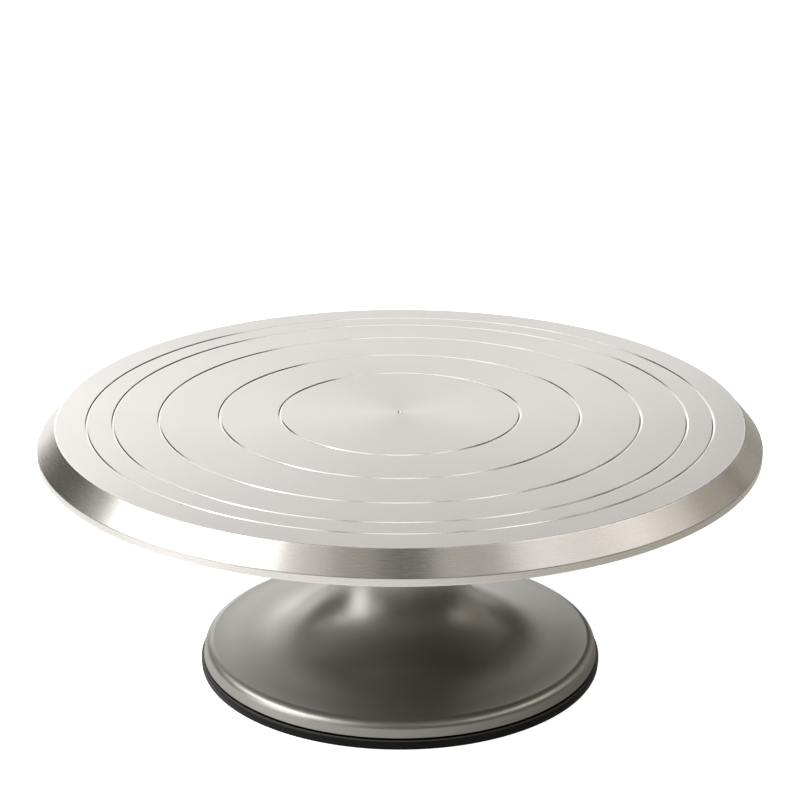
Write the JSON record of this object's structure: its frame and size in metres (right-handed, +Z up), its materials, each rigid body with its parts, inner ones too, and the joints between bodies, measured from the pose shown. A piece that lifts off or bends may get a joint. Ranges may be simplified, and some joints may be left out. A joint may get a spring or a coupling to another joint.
{
  "type": "revolving cake stand",
  "caption": "Low revolving cake stand: round aluminium plate with a bevelled rim and engraved rings, turning on ball bearings in a flared grey pedestal with a black rubber foot ring.",
  "frame": {"origin": "centre of the circle on which the rubber foot ring rests, on the table plane", "axes": "+Z up along the spin axis, through the plate's working face; X and Y are level, with one pedestal rib along +X"},
  "size_m": [0.305, 0.305, 0.114],
  "materials": {
    "spun_aluminium": "circular-brushed, bare, satin",
    "satin_cast_aluminium": "fine bead-blasted casting under a satin silver-grey lacquer",
    "black_rubber": "matt moulded",
    "turned_aluminium": "lathe-turned",
    "ground_steel": "ground",
    "bearing_steel": "ground and polished",
    "polished_balls": "mirror polished",
    "pressed_steel": "bright pressed sheet",
    "spring_steel": "oiled black oxide",
    "zinc_steel": "bright zinc plate",
    "cage_nylon": "natural moulded"
  },
  "bodies": {
    "base": {"base_pedestal": "satin_cast_aluminium", "foot_ring": "black_rubber", "upper_bearing_outer_ring": "bearing_steel", "upper_bearing_shields": "pressed_steel", "lower_bearing_outer_ring": "bearing_steel", "lower_bearing_shields": "pressed_steel", "bearing_circlip": "spring_steel", "preload_wave_washer": "spring_steel"},
    "turntable": {"turntable_plate": "spun_aluminium", "spindle_flange": "turned_aluminium", "flange_screws": "zinc_steel", "spindle": "ground_steel", "upper_bearing_inner_ring": "bearing_steel", "lower_bearing_inner_ring": "bearing_steel", "bearing_spacer": "turned_aluminium", "spindle_washer": "zinc_steel", "spindle_lock_washer": "spring_steel", "spindle_screw": "zinc_steel"},
    "upper_ball_set": {"upper_bearing_balls": "polished_balls", "upper_bearing_cage": "cage_nylon"},
    "lower_ball_set": {"lower_bearing_balls": "polished_balls", "lower_bearing_cage": "cage_nylon"}
  },
  "joints": [
    {"name": "turntable_spin", "type": "hinge", "parent": "base", "child": "turntable", "pos_m": [0, 0, 0.0885], "axis": [0, 0, 1], "continuous": true},
    {"name": "upper_ball_set_spin", "type": "hinge", "parent": "base", "child": "upper_ball_set", "pos_m": [0, 0, 0.0885], "axis": [0, 0, 1], "continuous": true},
    {"name": "lower_ball_set_spin", "type": "hinge", "parent": "base", "child": "lower_ball_set", "pos_m": [0, 0, 0.0485], "axis": [0, 0, 1], "continuous": true}
  ],
  "couplings": [
    {"joint": "upper_ball_set_spin", "follows": "turntable_spin", "ratio": 0.3809},
    {"joint": "lower_ball_set_spin", "follows": "turntable_spin", "ratio": 0.3809}
  ]
}
